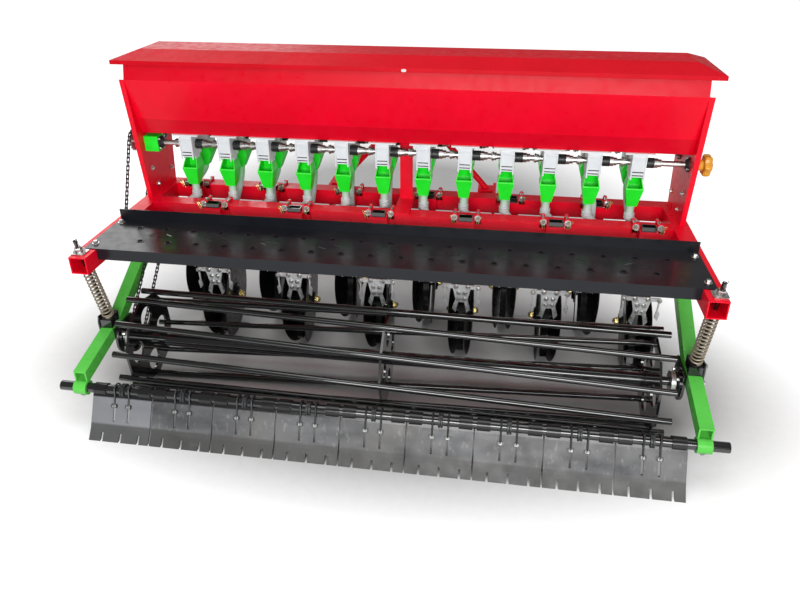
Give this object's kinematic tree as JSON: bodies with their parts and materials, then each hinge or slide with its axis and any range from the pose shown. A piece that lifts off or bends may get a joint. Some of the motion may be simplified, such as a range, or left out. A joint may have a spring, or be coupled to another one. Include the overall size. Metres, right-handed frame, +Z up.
{
  "type": "mounted seed drill",
  "caption": "Three-point mounted seed drill with a hopper, metering shafts, double-disc openers, footboard, cage roller and hinged covering plates.",
  "frame": {"origin": "on the ground under the middle of the overall box", "axes": "+X to the right seen from behind, +Y the way it travels, +Z up"},
  "size_m": [2.17, 1.12, 1.146],
  "materials": {
    "red_paint": "glossy enamel",
    "green_paint": "glossy enamel",
    "black_paint": "glossy enamel",
    "green_plastic": "moulded",
    "white_plastic": "moulded",
    "clear_tube": "translucent",
    "yellow_plastic": "moulded",
    "zinc": "zinc plated",
    "spring_steel": "dull",
    "chain_steel": "oiled",
    "disc_steel": "glossy",
    "dark_steel": "satin"
  },
  "bodies": {
    "frame": {"side_rails": "red_paint", "cross_beams": "red_paint", "hitch_frame": "red_paint", "side_plates": "red_paint", "hopper": "red_paint", "hopper_ends": "red_paint", "hopper_divider": "red_paint", "hopper_post": "red_paint", "shank_clamps": "red_paint", "pivot_brackets": "red_paint", "hitch_pins": "zinc", "seed_meters": "white_plastic", "fertiliser_meters": "white_plastic", "seed_funnels": "green_plastic", "fertiliser_funnels": "green_plastic", "seed_tubes": "clear_tube", "opener_bodies": "black_paint", "scrapers": "zinc", "footboard": "black_paint", "roller_arms": "green_paint", "bearing_plates": "black_paint", "roller_bearings": "zinc", "spring_rods": "zinc", "pressure_springs": "spring_steel", "cover_bar": "black_paint", "drive_box": "green_plastic", "handwheel": "yellow_plastic", "upper_chain": "chain_steel", "lower_chain": "chain_steel", "countershaft_bearing": "black_paint"},
    "lid": {"lid": "red_paint"},
    "roller": {"roller": "black_paint"},
    "seed_shaft": {"seed_shaft": "zinc"},
    "fertiliser_shaft": {"fertiliser_shaft": "zinc"},
    "countershaft": {"countershaft": "zinc"},
    "cover_plates": {"cover_plates": "dark_steel"},
    "disc_1_left": {"disc_1_left": "disc_steel"},
    "disc_1_right": {"disc_1_right": "disc_steel"},
    "disc_2_left": {"disc_2_left": "disc_steel"},
    "disc_2_right": {"disc_2_right": "disc_steel"},
    "disc_3_left": {"disc_3_left": "disc_steel"},
    "disc_3_right": {"disc_3_right": "disc_steel"},
    "disc_4_left": {"disc_4_left": "disc_steel"},
    "disc_4_right": {"disc_4_right": "disc_steel"},
    "disc_5_left": {"disc_5_left": "disc_steel"},
    "disc_5_right": {"disc_5_right": "disc_steel"},
    "disc_6_left": {"disc_6_left": "disc_steel"},
    "disc_6_right": {"disc_6_right": "disc_steel"},
    "disc_7_left": {"disc_7_left": "disc_steel"},
    "disc_7_right": {"disc_7_right": "disc_steel"},
    "disc_8_left": {"disc_8_left": "disc_steel"},
    "disc_8_right": {"disc_8_right": "disc_steel"},
    "disc_9_left": {"disc_9_left": "disc_steel"},
    "disc_9_right": {"disc_9_right": "disc_steel"},
    "disc_10_left": {"disc_10_left": "disc_steel"},
    "disc_10_right": {"disc_10_right": "disc_steel"},
    "disc_11_left": {"disc_11_left": "disc_steel"},
    "disc_11_right": {"disc_11_right": "disc_steel"},
    "disc_12_left": {"disc_12_left": "disc_steel"},
    "disc_12_right": {"disc_12_right": "disc_steel"}
  },
  "joints": [
    {"name": "lid_hinge", "type": "hinge", "parent": "frame", "child": "lid", "pos_m": [0, 0.461, 1.104], "axis": [-1, 0, 0], "range_deg": [0, 100]},
    {"name": "roller_spin", "type": "hinge", "parent": "frame", "child": "roller", "pos_m": [0, -0.201, 0.182], "axis": [-1, 0, 0], "continuous": true},
    {"name": "countershaft_spin", "type": "hinge", "parent": "frame", "child": "countershaft", "pos_m": [0, 0.097, 0.48], "axis": [-1, 0, 0], "continuous": true},
    {"name": "seed_shaft_spin", "type": "hinge", "parent": "frame", "child": "seed_shaft", "pos_m": [0, 0.222, 0.796], "axis": [-1, 0, 0], "continuous": true},
    {"name": "fertiliser_shaft_spin", "type": "hinge", "parent": "frame", "child": "fertiliser_shaft", "pos_m": [0, 0.362, 0.796], "axis": [-1, 0, 0], "continuous": true},
    {"name": "cover_plates_swing", "type": "hinge", "parent": "frame", "child": "cover_plates", "pos_m": [0, -0.462, 0.143], "axis": [-1, 0, 0], "range_deg": [-30, 55]},
    {"name": "disc_1_left_spin", "type": "hinge", "parent": "frame", "child": "disc_1_left", "pos_m": [-0.90602, 0.382, 0.175], "axis": [-0.9932, 0.1044, -0.0523], "continuous": true},
    {"name": "disc_1_right_spin", "type": "hinge", "parent": "frame", "child": "disc_1_right", "pos_m": [-0.85398, 0.382, 0.175], "axis": [-0.9932, -0.1044, 0.0523], "continuous": true},
    {"name": "disc_2_left_spin", "type": "hinge", "parent": "frame", "child": "disc_2_left", "pos_m": [-0.74602, 0.172, 0.175], "axis": [-0.9932, 0.1044, -0.0523], "continuous": true},
    {"name": "disc_2_right_spin", "type": "hinge", "parent": "frame", "child": "disc_2_right", "pos_m": [-0.69398, 0.172, 0.175], "axis": [-0.9932, -0.1044, 0.0523], "continuous": true},
    {"name": "disc_3_left_spin", "type": "hinge", "parent": "frame", "child": "disc_3_left", "pos_m": [-0.58602, 0.382, 0.175], "axis": [-0.9932, 0.1044, -0.0523], "continuous": true},
    {"name": "disc_3_right_spin", "type": "hinge", "parent": "frame", "child": "disc_3_right", "pos_m": [-0.53398, 0.382, 0.175], "axis": [-0.9932, -0.1044, 0.0523], "continuous": true},
    {"name": "disc_4_left_spin", "type": "hinge", "parent": "frame", "child": "disc_4_left", "pos_m": [-0.42602, 0.172, 0.175], "axis": [-0.9932, 0.1044, -0.0523], "continuous": true},
    {"name": "disc_4_right_spin", "type": "hinge", "parent": "frame", "child": "disc_4_right", "pos_m": [-0.37398, 0.172, 0.175], "axis": [-0.9932, -0.1044, 0.0523], "continuous": true},
    {"name": "disc_5_left_spin", "type": "hinge", "parent": "frame", "child": "disc_5_left", "pos_m": [-0.26602, 0.382, 0.175], "axis": [-0.9932, 0.1044, -0.0523], "continuous": true},
    {"name": "disc_5_right_spin", "type": "hinge", "parent": "frame", "child": "disc_5_right", "pos_m": [-0.21398, 0.382, 0.175], "axis": [-0.9932, -0.1044, 0.0523], "continuous": true},
    {"name": "disc_6_left_spin", "type": "hinge", "parent": "frame", "child": "disc_6_left", "pos_m": [-0.10602, 0.172, 0.175], "axis": [-0.9932, 0.1044, -0.0523], "continuous": true},
    {"name": "disc_6_right_spin", "type": "hinge", "parent": "frame", "child": "disc_6_right", "pos_m": [-0.05398, 0.172, 0.175], "axis": [-0.9932, -0.1044, 0.0523], "continuous": true},
    {"name": "disc_7_left_spin", "type": "hinge", "parent": "frame", "child": "disc_7_left", "pos_m": [0.05398, 0.382, 0.175], "axis": [-0.9932, 0.1044, -0.0523], "continuous": true},
    {"name": "disc_7_right_spin", "type": "hinge", "parent": "frame", "child": "disc_7_right", "pos_m": [0.10602, 0.382, 0.175], "axis": [-0.9932, -0.1044, 0.0523], "continuous": true},
    {"name": "disc_8_left_spin", "type": "hinge", "parent": "frame", "child": "disc_8_left", "pos_m": [0.21398, 0.172, 0.175], "axis": [-0.9932, 0.1044, -0.0523], "continuous": true},
    {"name": "disc_8_right_spin", "type": "hinge", "parent": "frame", "child": "disc_8_right", "pos_m": [0.26602, 0.172, 0.175], "axis": [-0.9932, -0.1044, 0.0523], "continuous": true},
    {"name": "disc_9_left_spin", "type": "hinge", "parent": "frame", "child": "disc_9_left", "pos_m": [0.37398, 0.382, 0.175], "axis": [-0.9932, 0.1044, -0.0523], "continuous": true},
    {"name": "disc_9_right_spin", "type": "hinge", "parent": "frame", "child": "disc_9_right", "pos_m": [0.42602, 0.382, 0.175], "axis": [-0.9932, -0.1044, 0.0523], "continuous": true},
    {"name": "disc_10_left_spin", "type": "hinge", "parent": "frame", "child": "disc_10_left", "pos_m": [0.53398, 0.172, 0.175], "axis": [-0.9932, 0.1044, -0.0523], "continuous": true},
    {"name": "disc_10_right_spin", "type": "hinge", "parent": "frame", "child": "disc_10_right", "pos_m": [0.58602, 0.172, 0.175], "axis": [-0.9932, -0.1044, 0.0523], "continuous": true},
    {"name": "disc_11_left_spin", "type": "hinge", "parent": "frame", "child": "disc_11_left", "pos_m": [0.69398, 0.382, 0.175], "axis": [-0.9932, 0.1044, -0.0523], "continuous": true},
    {"name": "disc_11_right_spin", "type": "hinge", "parent": "frame", "child": "disc_11_right", "pos_m": [0.74602, 0.382, 0.175], "axis": [-0.9932, -0.1044, 0.0523], "continuous": true},
    {"name": "disc_12_left_spin", "type": "hinge", "parent": "frame", "child": "disc_12_left", "pos_m": [0.85398, 0.172, 0.175], "axis": [-0.9932, 0.1044, -0.0523], "continuous": true},
    {"name": "disc_12_right_spin", "type": "hinge", "parent": "frame", "child": "disc_12_right", "pos_m": [0.90602, 0.172, 0.175], "axis": [-0.9932, -0.1044, 0.0523], "continuous": true}
  ],
  "couplings": [
    {"joint": "countershaft_spin", "follows": "roller_spin", "ratio": 1},
    {"joint": "seed_shaft_spin", "follows": "roller_spin", "ratio": 1.4118},
    {"joint": "fertiliser_shaft_spin", "follows": "roller_spin", "ratio": 1.4118}
  ]
}
